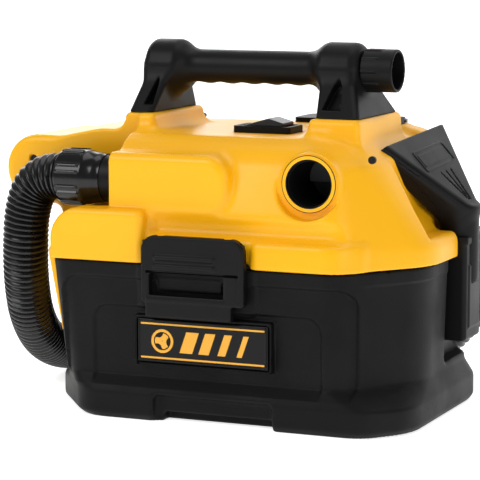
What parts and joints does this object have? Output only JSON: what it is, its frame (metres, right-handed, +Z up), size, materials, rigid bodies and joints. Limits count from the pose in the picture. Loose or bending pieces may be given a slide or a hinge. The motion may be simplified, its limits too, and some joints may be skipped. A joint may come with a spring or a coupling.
{
  "type": "shop vacuum",
  "caption": "Compact wet and dry vacuum: black tank, yellow power head with carrying handle, latches, stored hose, nozzle and crevice tool.",
  "frame": {"origin": "on the floor, under the middle of the tank and near the handle's mid plane", "axes": "+X to the object's right along its length, -Y to the front with the badge and blower port, +Z up"},
  "size_m": [0.4665, 0.3109, 0.3305],
  "materials": {
    "tank_black": "fine moulded texture",
    "head_yellow": "satin moulded",
    "trim_black": "satin moulded",
    "gloss_black": "polished moulded",
    "hose_black": "blown, corrugated",
    "soft_rubber": "moulded",
    "badge_print": "printed",
    "steel": "turned and plated",
    "housing_grey": "moulded",
    "filter_paper": "pleated",
    "foam": "open cell foam",
    "copper_winding": "enamelled wire",
    "magnet": "sintered",
    "board_green": "solder mask",
    "contact_metal": "stamped"
  },
  "bodies": {
    "tank_unit": {"tank": "tank_black", "rubber_feet": "soft_rubber", "badge_plate": "badge_print"},
    "head": {"lid": "head_yellow", "side_skirt": "head_yellow", "handle": "trim_black", "handle_screws": "steel", "case_screws": "steel", "nozzle_holder": "trim_black", "inlet_elbow": "trim_black", "inlet_deflector": "trim_black", "blower_port": "trim_black", "exhaust_duct": "housing_grey", "exhaust_foam": "foam", "motor_plate": "housing_grey", "gasket": "soft_rubber", "fan_housing": "housing_grey", "motor_can": "steel", "bearings": "steel", "motor_magnets": "magnet", "filter_cartridge": "filter_paper", "filter_cap": "soft_rubber", "float_cage": "housing_grey", "battery_bay": "housing_grey", "battery_pack": "trim_black", "battery_contacts": "contact_metal", "door_pin": "steel", "control_board": "board_green", "wiring": "soft_rubber", "switch_body": "trim_black", "latch_pins": "steel", "latch_mounts": "head_yellow", "vacuum_hose": "hose_black", "hose_cuff": "gloss_black", "hose_clips": "trim_black"},
    "front_latch": {"front_latch": "trim_black"},
    "rear_latch": {"rear_latch": "trim_black"},
    "switch_rocker": {"switch_rocker": "gloss_black"},
    "crevice_tool": {"crevice_tool": "trim_black"},
    "nozzle": {"nozzle": "trim_black"},
    "hose_nut": {"hose_nut": "gloss_black"},
    "rotor": {"impeller": "housing_grey", "motor_shaft": "steel", "motor_rotor": "copper_winding"},
    "float_valve": {"float_valve": "trim_black"},
    "battery_door": {"battery_door": "trim_black"}
  },
  "joints": [
    {"name": "head_lift", "type": "slide", "parent": "tank_unit", "child": "head", "axis": [0, 0, 1], "range_m": [0, 0.12]},
    {"name": "front_latch_swing", "type": "hinge", "parent": "head", "child": "front_latch", "pos_m": [0, -0.1315, 0.161], "axis": [-1, 0, 0], "range_deg": [0, 80]},
    {"name": "rear_latch_swing", "type": "hinge", "parent": "head", "child": "rear_latch", "pos_m": [0, 0.1315, 0.161], "axis": [1, 0, 0], "range_deg": [0, 80]},
    {"name": "switch_tip", "type": "hinge", "parent": "head", "child": "switch_rocker", "pos_m": [0.0435, -0.018, 0.25], "axis": [0, 1, 0], "range_deg": [0, 12]},
    {"name": "crevice_tool_pull", "type": "slide", "parent": "head", "child": "crevice_tool", "axis": [1, 0, 0], "range_m": [0, 0.205]},
    {"name": "nozzle_lift", "type": "slide", "parent": "head", "child": "nozzle", "axis": [0, 0, 1], "range_m": [0, 0.043]},
    {"name": "hose_nut_turn", "type": "hinge", "parent": "head", "child": "hose_nut", "pos_m": [-0.108, -0.083, 0.21], "axis": [1, 0, 0], "continuous": true},
    {"name": "rotor_spin", "type": "hinge", "parent": "head", "child": "rotor", "pos_m": [0.025, -0.005, 0.2], "axis": [0, 0, 1], "continuous": true},
    {"name": "float_rise", "type": "slide", "parent": "head", "child": "float_valve", "axis": [0, 0, 1], "range_m": [0, 0.04]},
    {"name": "battery_door_swing", "type": "hinge", "parent": "head", "child": "battery_door", "pos_m": [0.084, 0.111, 0.254], "axis": [-1, 0, 0], "range_deg": [0, 95]}
  ]
}
